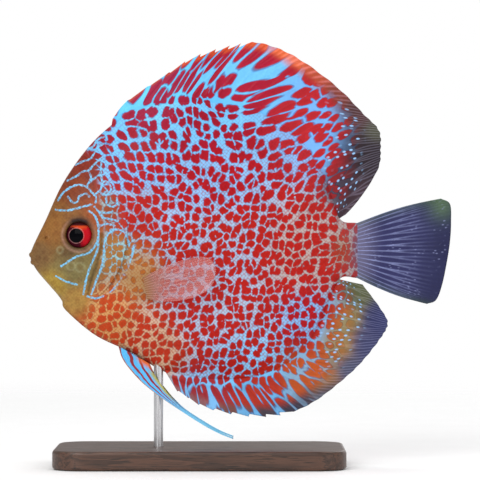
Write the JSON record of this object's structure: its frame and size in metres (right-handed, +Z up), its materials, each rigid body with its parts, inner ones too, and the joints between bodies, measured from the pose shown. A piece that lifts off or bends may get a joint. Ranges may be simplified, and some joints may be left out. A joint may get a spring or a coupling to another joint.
{
  "type": "discus fish model",
  "caption": "Life-size discus fish with raised fin rays, parted into named head, gill covers, trunk, eyes and fins, on a flat base with one rod.",
  "frame": {"origin": "centre of the display stand's underside, on the surface it stands on", "axes": "+X from the snout to the tail, +Y from the fish's left flank to its right flank, +Z up; the fish faces -X"},
  "size_m": [0.1809, 0.072, 0.1814],
  "materials": {
    "flank_skin": "wet satin skin, red spots in a light blue net",
    "head_skin": "wet satin skin, ochre with light blue lines",
    "fin_membrane": "rayed fin, red and light blue streaks, dark rim",
    "tail_membrane": "rayed fin, dark indigo with paler rays",
    "clear_fin": "thin see-through fin, pink with pale rays",
    "eye": "glossy red iris with a black pupil",
    "stand_wood": "dark oiled hardwood",
    "stand_steel": "satin steel rod"
  },
  "bodies": {
    "root": {"head": "head_skin", "gill_cover_left": "head_skin", "gill_cover_right": "head_skin", "eye_left": "eye", "eye_right": "eye", "trunk": "flank_skin", "tail_stem": "flank_skin", "dorsal_fin": "fin_membrane", "anal_fin": "fin_membrane", "tail_fin": "tail_membrane", "pectoral_fin_left": "clear_fin", "pectoral_fin_right": "clear_fin", "pelvic_fin_left": "fin_membrane", "pelvic_fin_right": "fin_membrane", "stand_base": "stand_wood", "stand_rod": "stand_steel"}
  },
  "joints": []
}
